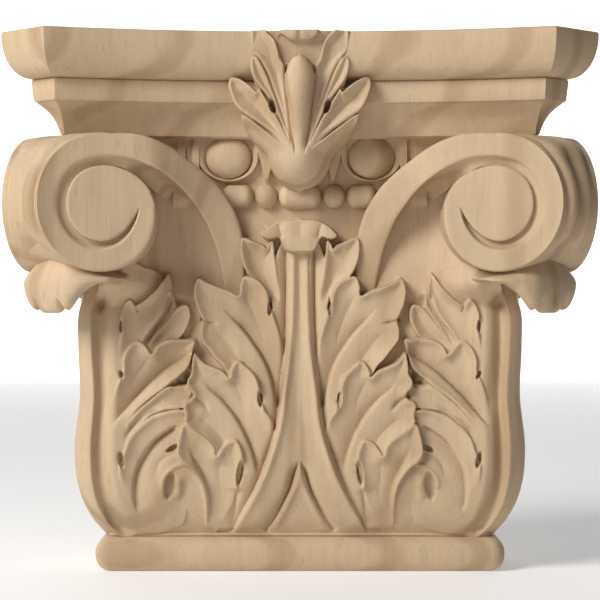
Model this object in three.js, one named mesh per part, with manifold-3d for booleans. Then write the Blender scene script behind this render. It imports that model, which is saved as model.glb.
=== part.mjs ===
// Carved maple pilaster capital: a bowed abacus with a leaf flower, egg-and-dart and
// bead-and-reel strips, corner volutes, acanthus leaves and a half-round base moulding.
// It is one solid. Each face is carved alike, so one face is made and turned onto the two
// returns, and the back is cut off flat where the capital meets the wall.
//
// Millimetres, +Z up, front towards -Y, standing on Z = 0 with the flat back at the most
// positive Y. Places on a face are given as (u, out, z): u along the face from its middle,
// out away from the axis of the imagined four-sided capital, and z up.

import * as THREE from 'three';
import { mergeVertices } from 'three/addons/utils/BufferGeometryUtils.js';
import Module from 'manifold-3d';

// ---------------------------------------------------------------- driving dimensions

const HEIGHT = 277;            // underside to the top of the abacus
const REACH = 151.5;           // axis to the horns of the abacus
const HORN = 127;              // middle of a face to the edge of its cut corner
const HOLLOW = 22;             // how far each side of the abacus bows in
const WALL = 43.5;             // axis to the flat back

const ABACUS = { bottom: 224.5, ovolo: 251.5, ovoloIn: 12.5, fascia: 240.3, fasciaIn: 14 };
const CAVETTO = { bottom: 226, inset: 25.2, bow: 1.6, bevelIn: 27.4 };

const BASE = { half: 106.5, height: 17.5, cornerRadius: 7 };

const VOLUTE = { u: 100, z: 190, halfWidth: 31.3, halfHeight: 35, inset: 2, root: 88 };
const GROOVE = { width: 4.6, depth: 3.4, start: 24, end: 352 };
const EGGS = { u: 37, z: 213, halfWidth: 11.5, halfHeight: 13.5, out: 97, proud: 9 };
const BEADS = { z: 195, radius: 6.3, out: 97 };

const MAPLE = new THREE.MeshStandardMaterial({ name: 'maple', color: 0xc4a37c, roughness: 0.62,
  metalness: 0 });

// Height, plain face and corner reach of the bell behind the leaves. The corner is a flat
// 45-degree band, the leaf's midrib, that is `band` wide along the face.
const BELL = [
  { z: 12, face: 95, corner: 96, band: 6 },
  { z: 19, face: 98, corner: 101, band: 6 },
  { z: 26, face: 102, corner: 106.5, band: 6 },
  { z: 34, face: 105, corner: 111, band: 7 },
  { z: 46, face: 107.5, corner: 114.8, band: 8 },
  { z: 62, face: 108, corner: 116.3, band: 8.5 },
  { z: 92, face: 104.5, corner: 113.8, band: 7.5 },
  { z: 118, face: 101, corner: 114.6, band: 7 },
  { z: 134, face: 98, corner: 117, band: 7 },
  { z: 150, face: 96, corner: 119, band: 7 },
  { z: 172, face: 94.5, corner: 112, band: 7 },
  { z: 200, face: 94.5, corner: 112, band: 7 },
  { z: 228, face: 98, corner: 115, band: 7 },
];

// ---------------------------------------------------------------- solids and places

const wasm = await Module();
wasm.setup();

const point = (u, out, z) => new THREE.Vector3(u, -out, z);

function solidOf(geometry) {
  const bare = geometry.clone();
  bare.deleteAttribute('normal');
  bare.deleteAttribute('uv');
  const merged = mergeVertices(bare, 1e-4);
  const mesh = new wasm.Mesh({
    numProp: 3,
    vertProperties: new Float32Array(merged.attributes.position.array),
    triVerts: new Uint32Array(merged.index.array),
  });
  return new wasm.Manifold(mesh);
}

function geometryOf(solid) {
  const { vertProperties, triVerts } = solid.getMesh();
  const geometry = new THREE.BufferGeometry();
  geometry.setAttribute('position', new THREE.BufferAttribute(vertProperties, 3));
  geometry.setIndex(new THREE.BufferAttribute(triVerts, 1));
  geometry.computeVertexNormals();
  return geometry;
}

// A ring seen flat, along whichever axis it faces most.
function flattened(ring) {
  const facing = ring.reduce((sum, p, i) => sum.add(
    new THREE.Vector3().crossVectors(p, ring[(i + 1) % ring.length])), new THREE.Vector3());
  const [x, y, z] = facing.toArray().map(Math.abs);
  if (z >= x && z >= y) return ring.map((p) => new THREE.Vector2(p.x, p.y));
  if (y >= x) return ring.map((p) => new THREE.Vector2(p.x, p.z));
  return ring.map((p) => new THREE.Vector2(p.y, p.z));
}

// A closed body through rings of equal count. One that comes out inside out is turned.
function loft(rings) {
  const count = rings[0].length;
  const faces = [];
  for (let ring = 0; ring + 1 < rings.length; ring += 1) {
    for (let i = 0; i < count; i += 1) {
      const a = ring * count + i;
      const b = ring * count + (i + 1) % count;
      faces.push([a, b, b + count], [a, b + count, a + count]);
    }
  }
  const cap = (ring, base, turned) => {
    const outline = flattened(ring);
    const winding = Math.sign(THREE.ShapeUtils.area(outline));
    for (const [a, b, c] of THREE.ShapeUtils.triangulateShape(outline, [])) {
      const corners = [outline[a], outline[b], outline[c]];
      const alike = Math.sign(THREE.ShapeUtils.area(corners)) === winding;
      const [p, q] = alike === turned ? [c, b] : [b, c];
      faces.push([base + a, base + p, base + q]);
    }
  };
  cap(rings[0], 0, true);
  cap(rings[rings.length - 1], (rings.length - 1) * count, false);
  const geometry = new THREE.BufferGeometry();
  geometry.setAttribute('position', new THREE.Float32BufferAttribute(
    rings.flat().flatMap((p) => p.toArray()), 3));
  geometry.setIndex(faces.flat());
  if (volumeOf(geometry) < 0) geometry.setIndex(faces.flatMap(([p, q, r]) => [p, r, q]));
  return solidOf(geometry);
}

function volumeOf(geometry) {
  const { array } = geometry.attributes.position;
  const corner = (i) => new THREE.Vector3().fromArray(array, 3 * i);
  let volume = 0;
  for (let i = 0; i < geometry.index.count; i += 3) {
    const [a, b, c] = [0, 1, 2].map((k) => corner(geometry.index.array[i + k]));
    volume += a.dot(b.cross(c)) / 6;
  }
  return volume;
}

const joined = (solids) => solids.reduce((whole, solid) => whole.add(solid));

const mirroredAcross = (solid) => solid.mirror([1, 0, 0]);

const bothSides = (solid) => [solid, mirroredAcross(solid)];

function range(count, from, to) {
  return Array.from({ length: count + 1 }, (_, i) => from + ((to - from) * i) / count);
}

// Straight-line reading of a table of rows at rising keys.
function along(rows, key, at, value) {
  const last = rows.length - 1;
  if (at <= rows[0][key]) return rows[0][value];
  if (at >= rows[last][key]) return rows[last][value];
  const i = rows.findIndex((row) => row[key] > at);
  const [a, b] = [rows[i - 1], rows[i]];
  return a[value] + ((b[value] - a[value]) * (at - a[key])) / (b[key] - a[key]);
}

// A stretched ball at a place on the face.
function ball(u, out, z, halfU, halfOut, halfZ, sides = 8, turn = 0) {
  const geometry = new THREE.SphereGeometry(1, sides, Math.round(sides * 0.7));
  geometry.rotateX(Math.PI / 2);
  geometry.scale(halfU, halfOut, halfZ);
  geometry.rotateY(turn);
  geometry.translate(u, -out, z);
  return solidOf(geometry);
}

// ---------------------------------------------------------------- abacus

const ARC_RADIUS = (HORN ** 2 + HOLLOW ** 2) / (2 * HOLLOW);
const ARC_CENTRE = REACH - HOLLOW + ARC_RADIUS;

// How far out the bowed face stands at u, set back by an inset.
const bowedFace = (u, inset) => ARC_CENTRE - Math.sqrt((ARC_RADIUS + inset) ** 2 - u ** 2);

// Where that face meets the cut corner, set back by the same inset.
function hornAt(inset) {
  const miss = ARC_CENTRE - (REACH + HORN - inset * Math.SQRT2);
  return (Math.sqrt(2 * (ARC_RADIUS + inset) ** 2 - miss ** 2) - miss) / 2;
}

// The whole plan: the front and both returns, closed behind the wall.
function abacusPlan(inset, z) {
  const horn = hornAt(inset);
  const front = range(12, -horn, horn).map((u) => point(u, bowedFace(u, inset), z));
  const side = range(3, horn, WALL - 6).map((u) => point(bowedFace(u, inset), u, z));
  const other = side.map((p) => new THREE.Vector3(-p.x, p.y, p.z)).reverse();
  return [...other, ...front, ...side];
}

function abacus() {
  const rings = [[CAVETTO.bevelIn, ABACUS.bottom], [CAVETTO.inset, CAVETTO.bottom]];
  for (const t of [0.35, 0.7, 1]) {
    const inset = CAVETTO.inset + (ABACUS.fasciaIn - CAVETTO.inset) * t;
    const bow = CAVETTO.bow * Math.sin(Math.PI * t);
    rings.push([inset + bow, CAVETTO.bottom + (ABACUS.fascia - CAVETTO.bottom) * t]);
  }
  rings.push([ABACUS.ovoloIn, ABACUS.ovolo - 0.2]);
  for (const angle of range(4, Math.PI / 2, 0)) {
    const inset = ABACUS.ovoloIn * (1 - Math.cos(angle));
    rings.push([inset, HEIGHT - (HEIGHT - ABACUS.ovolo) * Math.sin(angle)]);
  }
  return loft(rings.map(([inset, z]) => abacusPlan(inset, z)));
}

// ---------------------------------------------------------------- bell and base

const cornerOf = (z) => along(BELL, 'z', z, 'corner');
const bandOf = (z) => along(BELL, 'z', z, 'band');

// How far out the bell's face stands: plain in the middle and rising to the corner.
function bellFace(u, z) {
  const face = along(BELL, 'z', z, 'face');
  const crest = cornerOf(z) - bandOf(z);
  return face + (cornerOf(z) - face) * Math.min(1, Math.abs(u) / crest) ** 2;
}

function bellPlan(z) {
  const corner = cornerOf(z);
  const crest = corner - bandOf(z);
  const valley = crest - 4.2;
  const half = [[0, bellFace(0, z)], [60, bellFace(60, z)], [valley - 9, bellFace(valley - 9, z)],
    [valley, corner - 5], [crest, corner]];
  const right = half.map(([u, out]) => point(u, out, z));
  const back = half.filter(([u]) => u > 0).reverse().map(([u, out]) => point(out, u, z));
  const turn = [...right, ...back, point(bellFace(0, z), 0, z)];
  const other = turn.slice(1).reverse().map((p) => new THREE.Vector3(-p.x, p.y, p.z));
  return [...other, ...turn];
}

const bell = () => loft(BELL.map(({ z }) => bellPlan(z)));

// The half-round moulding under the leaves, with its corners rounded in plan.
function baseMoulding() {
  const radius = BASE.height / 2;
  const rings = range(6, -Math.PI / 2, Math.PI / 2).map((angle) => {
    const inset = radius * (1 - Math.cos(angle));
    const z = radius * (1 + Math.sin(angle));
    const turn = BASE.half - BASE.cornerRadius;
    const round = BASE.cornerRadius - inset * 0.6;
    const shift = turn - inset * 0.4;
    const corner = range(3, 0, Math.PI / 2).map(
      (a) => point(shift + round * Math.sin(a), shift + round * Math.cos(a), z));
    const right = [...corner, point(BASE.half - inset, WALL - 6, z)];
    return [...right.map((p) => new THREE.Vector3(-p.x, p.y, p.z)).reverse(), ...right];
  });
  return loft(rings);
}

// ---------------------------------------------------------------- strips under the abacus

function eggAndDart() {
  const { u, z, halfWidth, halfHeight, out, proud } = EGGS;
  const shell = ball(u, out, z + 1, halfWidth + 5, proud - 3.5, halfHeight + 3.5);
  const groove = ball(u, out + proud, z + 1, halfWidth + 1.6, proud, halfHeight + 1.2);
  const egg = ball(u, out - 1, z + 1, halfWidth, proud, halfHeight);
  const band = loft([point(0, 0, 200.5), point(0, 0, 228)].map(({ z: level }) => [
    point(-78, 90, level), point(78, 90, level), point(78, out, level), point(-78, out, level)]));
  const tongue = loft([209, 227].map((level) => [point(51, 92, level), point(58, 92, level),
    point(58, out + 4, level), point(51, out + 4, level)]));
  return [band, ...bothSides(shell.subtract(groove).add(egg)), ...bothSides(tongue)];
}

function beadAndReel() {
  const { z, radius, out } = BEADS;
  const reel = (from, to) => {
    const geometry = new THREE.CapsuleGeometry(radius, to - from - 2 * radius, 2, 8);
    geometry.rotateZ(Math.PI / 2);
    geometry.translate((from + to) / 2, -out, z);
    return solidOf(geometry);
  };
  return [reel(-11.4, 11.4), ...bothSides(ball(18, out, z, radius, radius, radius, 7)),
    ...bothSides(reel(24.5, 46))];
}

// ---------------------------------------------------------------- volutes

const voluteFace = (u) => bowedFace(u, VOLUTE.inset);

// One scroll: an upright drum whose face follows the bow of the abacus.
function voluteDrum() {
  const rings = [VOLUTE.root, null].map((out) => range(20, 0, 2 * Math.PI).slice(0, 20)
    .map((angle) => {
      const u = VOLUTE.u + VOLUTE.halfWidth * Math.cos(angle);
      const z = VOLUTE.z + VOLUTE.halfHeight * Math.sin(angle);
      return point(u, out ?? voluteFace(u), z);
    }));
  return loft(rings);
}

// The channel that winds from the open side of the scroll to its eye.
function voluteGroove() {
  const turns = [[GROOVE.start, 31], [52, 25.5], [90, 21.6], [180, 20.4], [270, 20.6],
    [320, 19.2], [GROOVE.end, 17]].map(([angle, radius]) => ({ angle, radius }));
  const rings = range(12, GROOVE.start, GROOVE.end).map((angle) => {
    const radius = along(turns, 'angle', angle, 'radius');
    const turn = THREE.MathUtils.degToRad(180 - angle);
    const last = angle === GROOVE.end ? 0.3 : 1;
    const edge = (side, down) => {
      const r = radius + (side * GROOVE.width * last) / 2;
      const u = VOLUTE.u + r * Math.cos(turn);
      return point(u, voluteFace(u) - down, VOLUTE.z + r * Math.sin(turn));
    };
    return [edge(-0.7, GROOVE.depth), edge(0.7, GROOVE.depth), edge(1.2, -1), edge(-1.2, -1)];
  });
  return loft(rings);
}

// The wedge that joins the front scroll to the one on the return, nearly cut off at 45.
function voluteCorner() {
  const rings = range(6, -0.94, 0.94).map((rise) => {
    const nose = VOLUTE.u + VOLUTE.halfWidth * Math.sqrt(1 - rise ** 2) - 0.6;
    const z = VOLUTE.z + VOLUTE.halfHeight * rise;
    const out = voluteFace(nose) - 0.8;
    const dip = (nose + out) / 2 - 2.4;
    return [point(nose, 100, z), point(out, nose, z), point(dip, dip, z), point(nose, out, z),
      point(100, nose, z)];
  });
  return loft(rings);
}

// The stalk that sweeps from the top of a scroll down to the middle of the bell: places of
// its outer and inner edge, and how far out each stands.
const STALK = [
  { outer: [92, 139.5, 224.8], inner: [92, 136, 206] },
  { outer: [83, 137, 224.6], inner: [79, 132, 206] },
  { outer: [69.5, 132, 221.6], inner: [68, 126, 201] },
  { outer: [55.6, 123, 211.4], inner: [56, 116, 193] },
  { outer: [42.1, 112, 199.5], inner: [48, 108, 182] },
  { outer: [33.5, 104.5, 185.9], inner: [43, 102, 168] },
  { outer: [29, 100, 174.6], inner: [40, 99.5, 150] },
  { outer: [29, 98.5, 150], inner: [38, 98.5, 136] },
];

function stalk() {
  const rings = STALK.map(({ outer, inner }) => [point(...outer), point(...inner),
    point(inner[0], 88, inner[2]), point(outer[0], 88, outer[2])]);
  return loft(rings);
}

// ---------------------------------------------------------------- leaves

// Lobes of half of the middle leaf, and of one half of a corner leaf: root, bend and tip of
// the lobe's line as (u, z), its width, and how far its tip stands off the bell.
const MIDDLE_LOBES = [
  { root: [17, 138], bend: [20, 160], tip: [29, 174], width: 15, rise: 6 },
  { root: [15, 112], bend: [22, 140], tip: [30, 154], width: 14, rise: 6.5 },
  { root: [15, 98], bend: [32, 140], tip: [53, 151], width: 19, rise: 7.5 },
  { root: [16, 88], bend: [33, 118], tip: [50, 127], width: 17, rise: 6 },
  { root: [21, 66], bend: [22, 96], tip: [32, 108], width: 14, rise: 6.5 },
  { root: [24, 52], bend: [36, 98], tip: [54, 112], width: 18, rise: 7.5 },
  { root: [26, 42], bend: [37, 76], tip: [57, 86], width: 18, rise: 6 },
  { root: [30, 38], bend: [31, 60], tip: [37, 67], width: 12, rise: 6.5 },
  { root: [41, 22], bend: [44, 56], tip: [62, 70], width: 15, rise: 6 },
];
const CORNER_LOBES = [
  { root: [91, 108], bend: [88, 142], tip: [68, 153], width: 18, rise: 9 },
  { root: [93, 118], bend: [93, 132], tip: [87, 141], width: 9, rise: 6 },
  { root: [84, 108], bend: [70, 122], tip: [57, 137], width: 12, rise: 5 },
  { root: [97, 74], bend: [82, 112], tip: [57, 119], width: 18, rise: 7.5 },
  { root: [97, 92], bend: [93, 110], tip: [85, 119], width: 12, rise: 6 },
  { root: [94, 50], bend: [86, 82], tip: [60, 84], width: 15, rise: 6 },
  { root: [84, 28], bend: [84, 66], tip: [63, 74], width: 13, rise: 6 },
];
const LOBE_SHAPE = [[0, 0.55, 0.1], [0.42, 1.15, 0.5], [0.82, 1, 1], [1, 0.25, 1]];

// A lobe is a strip along its line, scooped along the middle and proud at the tip.
function lobe({ root, bend, tip, width, rise }) {
  const line = new THREE.QuadraticBezierCurve(...[root, bend, tip]
    .map(([u, z]) => new THREE.Vector2(u, z)));
  const rings = LOBE_SHAPE.map(([t, breadth, lift]) => {
    const at = line.getPoint(t);
    const way = line.getTangent(t);
    const edge = (side, proud) => {
      const u = at.x - (way.y * side * breadth * width) / 2;
      const z = at.y + (way.x * side * breadth * width) / 2;
      return point(u, bellFace(u, z) + proud, z);
    };
    const top = rise * lift;
    return [edge(1, top), edge(0, top - 1.6), edge(-1, top), edge(-1, -5), edge(1, -5)];
  });
  return loft(rings);
}

// Half-width of the middle leaf's stem on its way down, flaring to the base.
const STEM = [{ z: 170, half: 5.6 }, { z: 105, half: 6 }, { z: 88, half: 8.3 },
  { z: 71, half: 11.6 }, { z: 54, half: 17 }, { z: 37, half: 23.8 }, { z: 25, half: 30 },
  { z: 17, half: 34 }];

function stem() {
  const rings = STEM.map(({ z, half }) => {
    const out = bellFace(0, z);
    return [point(-half, out - 5, z), point(half, out - 5, z), point(half, out + 3.6, z),
      point(0, out + 5.4, z), point(-half, out + 3.6, z)];
  });
  return loft(rings);
}

// The cut beside the small leaf that fills the foot of the stem.
function stemCut() {
  const rings = [[2, 62, 1.5], [9, 42, 4], [18, 18, 4]].map(([u, z, width]) => {
    const out = bellFace(u, z) + 9;
    return [point(u - width / 2, out, z), point(u, out - 8.5, z), point(u + width / 2, out, z)];
  });
  return loft(rings);
}

function middleLeaf() {
  const tip = ball(0, 101, 174.5, 17.5, 9.5, 8.4);
  const lobes = MIDDLE_LOBES.flatMap((shape) => bothSides(lobe(shape)));
  const foot = joined([stem(), tip]).subtract(stemCut()).subtract(mirroredAcross(stemCut()));
  return [foot, ...lobes];
}

// The corner leaf's tip, curled out under the scrolls: its section along the diagonal as
// (distance from the axis, height), carried across the diagonal and narrowed to its ends.
const CURL_SECTION = [[150, 151], [163, 149], [168, 143], [173, 143.5], [176, 140], [178, 134.5],
  [182.5, 138], [183, 147], [177, 157], [166, 162], [150, 163]];
const CURL_WIDTHS = [[-21, 0.8], [-14, 0.98], [-5, 1.02], [0, 0.96], [5, 1.02], [14, 0.98],
  [21, 0.8]];

function leafCurl() {
  const rings = CURL_WIDTHS.map(([across, fullness]) => CURL_SECTION.map(([distance, z]) => {
    const far = 150 + (distance - 150) * fullness;
    const level = 146 + (z - 146) * fullness;
    return point((far - across) / Math.SQRT2, (far + across) / Math.SQRT2, level);
  }));
  return loft(rings);
}

// ---------------------------------------------------------------- flower on the abacus

// Petals on the right half: middle, half-sizes and lean of each.
const PETALS = [
  { at: [18, 129, 264], half: [7, 6, 16], lean: 0.25 },
  { at: [21, 130, 247], half: [6.5, 6, 12], lean: 0.35 },
  { at: [25, 130, 237], half: [6.5, 6.5, 18], lean: 0.7 },
  { at: [20, 126, 224], half: [6.5, 6.5, 16], lean: 0.75 },
];

function flower() {
  const petals = PETALS.flatMap(({ at, half, lean }) => bothSides(ball(...at, ...half, 6, lean)));
  const tongue = new THREE.CapsuleGeometry(6.4, 38, 2, 8);
  tongue.rotateX(Math.PI / 2);
  tongue.translate(0, -131, 243);
  const bulb = ball(0, 114, 213, 15, 16, 14, 7);
  const heart = ball(0, 122, 240, 19, 9, 31);
  const curl = ball(0, 131, 273, 10, 7, 5);
  const trim = loft([HEIGHT, HEIGHT + 20].map((z) => [point(-50, 90, z), point(50, 90, z),
    point(50, 160, z), point(-50, 160, z)]));
  return joined([heart, bulb, solidOf(tongue), curl, ...petals]).subtract(trim);
}

// ---------------------------------------------------------------- the capital

function carvedFace() {
  const groove = voluteGroove();
  const scroll = voluteDrum().subtract(groove);
  const cornerLobes = CORNER_LOBES.map(lobe);
  return joined([
    ...bothSides(scroll), ...bothSides(stalk()), ...eggAndDart(), ...beadAndReel(),
    ...cornerLobes.flatMap(bothSides), ...middleLeaf(),
  ]);
}

function capital() {
  const face = carvedFace();
  const corners = [leafCurl(), voluteCorner()].flatMap(bothSides);
  const faces = [face, face.rotate([0, 0, 90]), face.rotate([0, 0, -90])];
  const whole = joined([abacus(), bell(), baseMoulding(), flower(), ...corners, ...faces]);
  const behind = loft([-10, HEIGHT + 10].map((z) => [point(-200, WALL, z), point(200, WALL, z),
    point(200, -200, z), point(-200, -200, z)]));
  return whole.subtract(behind).translate([0, (REACH + WALL) / 2, 0]);
}

const group = new THREE.Group();
const mesh = new THREE.Mesh(geometryOf(capital()), MAPLE);
mesh.name = 'capital';
group.add(mesh);

export default group;
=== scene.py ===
"""Carved maple pilaster capital, dressed as a Blender add-on.

Places are worked out on a square frame. A place on a face has u, along the face from its
middle, out, the distance from the axis, and z, up from the underside, all in millimetres.
The sides are the front turned a quarter and stopped at the wall. Meshes are in metres.
"""

import math

import bpy
import numpy as np
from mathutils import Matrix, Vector


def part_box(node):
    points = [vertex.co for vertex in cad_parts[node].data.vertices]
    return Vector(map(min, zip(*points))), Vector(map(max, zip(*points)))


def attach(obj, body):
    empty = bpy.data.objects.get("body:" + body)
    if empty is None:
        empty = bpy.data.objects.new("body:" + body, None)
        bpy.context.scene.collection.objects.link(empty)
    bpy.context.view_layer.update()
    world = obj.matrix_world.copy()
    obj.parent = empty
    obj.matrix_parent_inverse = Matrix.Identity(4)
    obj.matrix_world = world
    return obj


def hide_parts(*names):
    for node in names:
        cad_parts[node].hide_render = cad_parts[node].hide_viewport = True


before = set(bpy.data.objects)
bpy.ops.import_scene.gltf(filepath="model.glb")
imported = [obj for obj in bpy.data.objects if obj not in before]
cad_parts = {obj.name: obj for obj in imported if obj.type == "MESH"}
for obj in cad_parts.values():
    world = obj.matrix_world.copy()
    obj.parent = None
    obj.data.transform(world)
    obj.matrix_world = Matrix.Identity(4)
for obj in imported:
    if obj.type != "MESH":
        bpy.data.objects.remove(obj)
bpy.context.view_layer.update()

bl_info = {
    "name": "Carved capital",
    "version": (1, 0, 0),
    "blender": (4, 5, 0),
    "location": "View3D > Sidebar > Capital",
    "description": "Carves the mouldings, scrolls and leaves of a wooden pilaster capital",
    "category": "Add Mesh",
}

MM = 0.001
SAME_PLACE = 0.000002
TOUCHING = 1e-6
LOW, HIGH = (np.array(corner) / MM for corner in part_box("capital"))
REACH = HIGH[0]
HEIGHT = HIGH[2]
BACK = HIGH[1]
FRONT = LOW[1]
WALL = REACH - (BACK - FRONT)

HORN = 127.0
HOLLOW = 22.0
BOW_RADIUS = (HORN**2 + HOLLOW**2) / (2 * HOLLOW)
BOW_CENTRE = REACH - HOLLOW + BOW_RADIUS

TORUS_TOP = 17.5
FOOT_REACH = 106.5
BELL_TOP = 226.0
BELL_Z = [12, 19, 26, 34, 46, 62, 92, 118, 134, 150, 172, 200, 228]
BELL_FACE = [95, 98, 102, 105, 107.5, 108, 104.5, 101, 98, 96, 94.5, 94.5, 98]
BELL_CORNER = [96, 101, 106.5, 111, 114.8, 116.3, 113.8, 114.6, 114.4, 110, 106, 106, 106]
BELL_BAND = [6, 6, 6, 7, 8, 8.5, 7.5, 7, 7, 7, 7, 7, 7]


# ------------------------------------------------------------------ shared measuring

def smooth(value):
    """0 below 0, 1 above 1, and a smooth step between."""
    value = np.clip(value, 0, 1)
    return value * value * (3 - 2 * value)


def row(heights, values, z):
    """A value read smoothly off a column of heights."""
    heights = np.asarray(heights, float)
    values = np.asarray(values, float)
    slopes = np.gradient(values, heights)
    z = np.clip(z, heights[0], heights[-1])
    at = np.clip(np.searchsorted(heights, z) - 1, 0, len(heights) - 2)
    span = heights[at + 1] - heights[at]
    t = (z - heights[at]) / span
    start, end = values[at], values[at + 1]
    bend = (2 * t**3 - 3 * t**2 + 1) * start + (3 * t**2 - 2 * t**3) * end
    return bend + span * ((t**3 - 2 * t**2 + t) * slopes[at] + (t**3 - t**2) * slopes[at + 1])


def bowed(u, inset=0.0):
    """Distance from the axis to the hollowed face of the top slab."""
    return BOW_CENTRE - np.sqrt((BOW_RADIUS + inset) ** 2 - np.asarray(u, float) ** 2)


def curve(points, steps=6, closed=False):
    """A smooth line through a few points."""
    points = np.asarray(points, float)
    if closed:
        padded = np.vstack([points[-1], points, points[:2]])
        spans = len(points)
    else:
        padded = np.vstack([2 * points[0] - points[1], points, 2 * points[-1] - points[-2]])
        spans = len(points) - 1
    line = []
    for i in range(spans):
        a, b, c, d = padded[i:i + 4]
        for t in np.arange(steps) / steps:
            line.append(0.5 * (2 * b + (c - a) * t + (2 * a - 5 * b + 4 * c - d) * t**2
                               + (3 * b - a - 3 * c + d) * t**3))
    if not closed:
        line.append(points[-1])
    return np.array(line)


def from_line(u, z, line, closed=False):
    """Distance to a line, the side (positive to the left of its run), and how far along."""
    ends = np.roll(line, -1, axis=0) if closed else line[1:]
    starts = line if closed else line[:-1]
    lengths = np.hypot(*(ends - starts).T)
    runs = np.concatenate([[0], np.cumsum(lengths)])
    best = np.full(u.shape, 1e9)
    side = np.zeros(u.shape)
    along = np.zeros(u.shape)
    for (su, sz), (eu, ez), length, run in zip(starts, ends, lengths, runs):
        du, dz = eu - su, ez - sz
        t = np.clip(((u - su) * du + (z - sz) * dz) / max(length**2, 1e-9), 0, 1)
        gap = np.hypot(u - su - t * du, z - sz - t * dz)
        near = gap < best
        best = np.where(near, gap, best)
        side = np.where(near, np.sign(du * (z - sz) - dz * (u - su)), side)
        along = np.where(near, (run + t * length) / runs[-1], along)
    return best, side, along


def inside(u, z, line):
    """Distance in from a closed outline, negative outside it."""
    gap = from_line(u, z, line, closed=True)[0]
    within = np.zeros(u.shape, bool)
    for (su, sz), (eu, ez) in zip(line, np.roll(line, -1, axis=0)):
        if sz == ez:
            continue
        crossing = (sz > z) != (ez > z)
        within ^= crossing & (u < (eu - su) * (z - sz) / (ez - sz) + su)
    return np.where(within, gap, -gap)


# ------------------------------------------------------------------ carving a surface

class Carving:
    """Heights above a plain ground, cut with gouges in the order they are called."""

    def __init__(self, u, z):
        self.u = u
        self.z = z
        self.h = np.zeros(u.shape)

    def near(self, line, margin):
        low = line.min(axis=0) - margin
        high = line.max(axis=0) + margin
        return ((self.u > low[0]) & (self.u < high[0])
                & (self.z > low[1]) & (self.z < high[1]))

    def lobe(self, outline, root, tip, rise, scoop=1.6, rim=0.5, edge=0.8, fade=0.35,
             spread=5.0, under=0.0):
        """A leaf lobe: a scooped tongue with a raised rim, standing over what is under it."""
        line = curve(outline, closed=True)
        at = self.near(line, 3.0)
        u, z = self.u[at], self.z[at]
        depth = inside(u, z, line)
        root, tip = np.array(root, float), np.array(tip, float)
        run = tip - root
        t = np.clip(((u - root[0]) * run[0] + (z - root[1]) * run[1]) / (run @ run), 0, 1)
        cover = smooth(depth / edge + 0.5) * smooth(t / fade)
        level = rise[0] + (rise[1] - rise[0]) * t
        hollow = scoop * (1 - np.exp(-(np.maximum(depth, 0) / spread) ** 2))
        lip = rim * np.exp(-((depth - 1.2) / 1.3) ** 2)
        height = self.h[at]
        if under:
            shade = np.exp(-(np.minimum(depth, 0) / 1.6) ** 2) * (depth < 0) * smooth(t / fade)
            height = height - under * shade
        self.h[at] = height + (level - hollow + lip - height) * cover

    def channel(self, path, depth, left, right, start=0.1, end=0.1):
        """A V cut along a line, with its own reach on each side and run-outs at the ends."""
        line = curve(path)
        at = self.near(line, 3 * max(left, right))
        gap, side, along = from_line(self.u[at], self.z[at], line)
        reach = np.where(side > 0, left, right)
        ends = smooth(along / max(start, 1e-6)) * smooth((1 - along) / max(end, 1e-6))
        self.h[at] -= depth * np.exp(-(gap / reach) ** 1.05) * ends

    def ridge(self, path, height, width, start=0.15, end=0.15):
        """A rounded bead along a line."""
        line = curve(path)
        at = self.near(line, 2 * width)
        gap, _, along = from_line(self.u[at], self.z[at], line)
        ends = smooth(along / start) * smooth((1 - along) / end)
        self.h[at] += height * np.exp(-(gap / (0.5 * width)) ** 2) * ends

    def eye(self, u, z, length, width, lean=0.0, depth=4.0):
        """A drilled drop between two lobes; lean is its turn from upright in degrees."""
        at = (abs(self.u - u) < length) & (abs(self.z - z) < length)
        du, dz = self.u[at] - u, self.z[at] - z
        turn = math.radians(lean)
        across = du * math.cos(turn) + dz * math.sin(turn)
        along = dz * math.cos(turn) - du * math.sin(turn)
        ring = np.sqrt((2 * across / width) ** 2 + (2 * along / length) ** 2)
        self.h[at] -= depth * smooth((1.15 - ring) / 0.5)


def uneven(u, z, size, seed):
    """Slight waviness left by hand tools."""
    wave = np.zeros(np.shape(u))
    chance = np.random.default_rng(seed)
    for scale in (1.0, 0.45, 0.22):
        for _ in range(4):
            turn, phase = chance.uniform(0, math.tau, 2)
            reach = size * scale * chance.uniform(0.7, 1.3)
            wave += scale * np.sin((u * math.cos(turn) + z * math.sin(turn)) / reach + phase)
    return wave / 4


# ------------------------------------------------------------------ mesh tools

def nothing_selected():
    if bpy.context.object and bpy.context.object.mode != "OBJECT":
        bpy.ops.object.mode_set(mode="OBJECT")
    bpy.ops.object.select_all(action="DESELECT")


def place(u, out, z):
    """Front-face places as metres."""
    u, out, z = np.broadcast_arrays(*(np.asarray(part, float) for part in (u, out, z)))
    return np.stack([u, FRONT + REACH - out, z], axis=-1) * MM


def stop_at_wall(points):
    points[..., 1] = np.minimum(points[..., 1], BACK * MM)
    return points


def sheet(name, points):
    """A grid primitive whose points are moved to their carved places."""
    rows, columns = points.shape[:2]
    nothing_selected()
    bpy.ops.mesh.primitive_grid_add(x_subdivisions=columns - 1, y_subdivisions=rows - 1, size=1)
    piece = bpy.context.object
    piece.name = name
    mesh = piece.data
    mesh.name = name
    mesh.vertices.foreach_set("co", points.reshape(-1, 3).ravel())
    mesh.update()
    return piece


def edit(piece, kind="VERT"):
    nothing_selected()
    bpy.context.view_layer.objects.active = piece
    piece.select_set(True)
    bpy.ops.object.mode_set(mode="EDIT")
    bpy.ops.mesh.select_mode(type=kind)


def object_mode():
    bpy.ops.object.mode_set(mode="OBJECT")


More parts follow.
